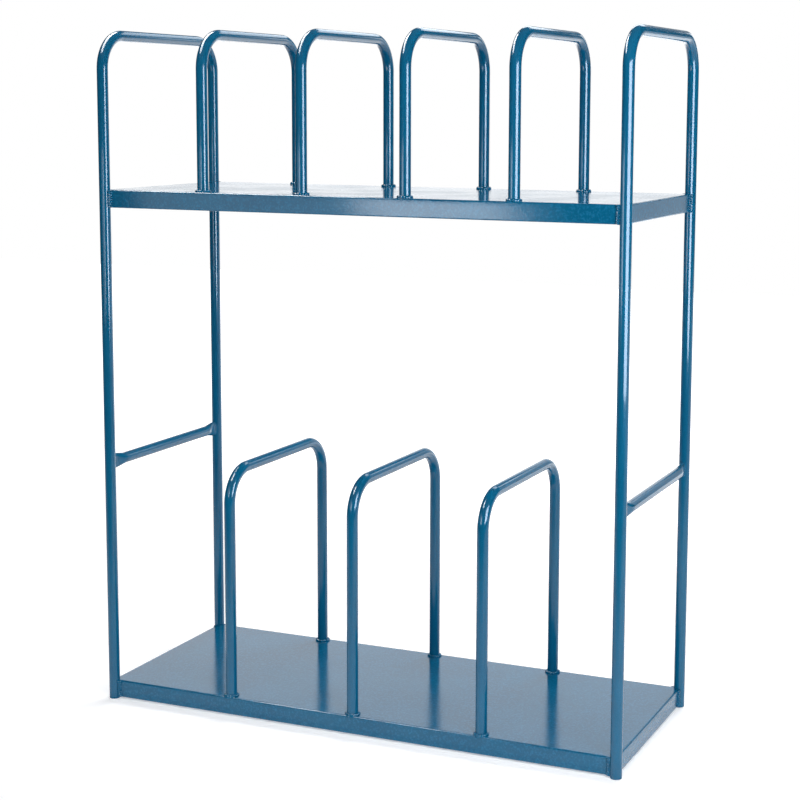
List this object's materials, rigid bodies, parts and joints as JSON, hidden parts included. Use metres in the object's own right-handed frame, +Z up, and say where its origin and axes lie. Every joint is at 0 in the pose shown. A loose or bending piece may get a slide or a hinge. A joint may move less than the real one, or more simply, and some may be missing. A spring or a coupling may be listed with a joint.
{
  "type": "divider rack",
  "caption": "Free-standing welded steel rack with a low and a high shelf, each split into upright bays by inverted-U tube dividers.",
  "frame": {"origin": "on the floor, under the centre of the rack", "axes": "+X along the width to the right as seen from the front, +Y from front to back, +Z up"},
  "size_m": [1.25, 0.5, 1.54],
  "materials": {
    "tube_enamel": "gloss enamel on round steel tube",
    "sheet_enamel": "gloss enamel with fine orange peel on folded steel sheet",
    "weld_enamel": "gloss enamel over rippled weld beads"
  },
  "bodies": {
    "root": {"left_end_hoop": "tube_enamel", "right_end_hoop": "tube_enamel", "front_left_foot": "tube_enamel", "front_right_foot": "tube_enamel", "rear_left_foot": "tube_enamel", "rear_right_foot": "tube_enamel", "upper_shelf": "sheet_enamel", "upper_shelf_stiffener": "sheet_enamel", "upper_shelf_left_welds": "weld_enamel", "upper_shelf_right_welds": "weld_enamel", "lower_shelf": "sheet_enamel", "lower_shelf_stiffener": "sheet_enamel", "lower_shelf_left_welds": "weld_enamel", "lower_shelf_right_welds": "weld_enamel", "left_brace": "tube_enamel", "left_brace_welds": "weld_enamel", "right_brace": "tube_enamel", "right_brace_welds": "weld_enamel", "upper_divider_1": "tube_enamel", "upper_divider_1_welds": "weld_enamel", "upper_divider_2": "tube_enamel", "upper_divider_2_welds": "weld_enamel", "upper_divider_3": "tube_enamel", "upper_divider_3_welds": "weld_enamel", "upper_divider_4": "tube_enamel", "upper_divider_4_welds": "weld_enamel", "lower_divider_1": "tube_enamel", "lower_divider_1_welds": "weld_enamel", "lower_divider_2": "tube_enamel", "lower_divider_2_welds": "weld_enamel", "lower_divider_3": "tube_enamel", "lower_divider_3_welds": "weld_enamel"}
  },
  "joints": []
}
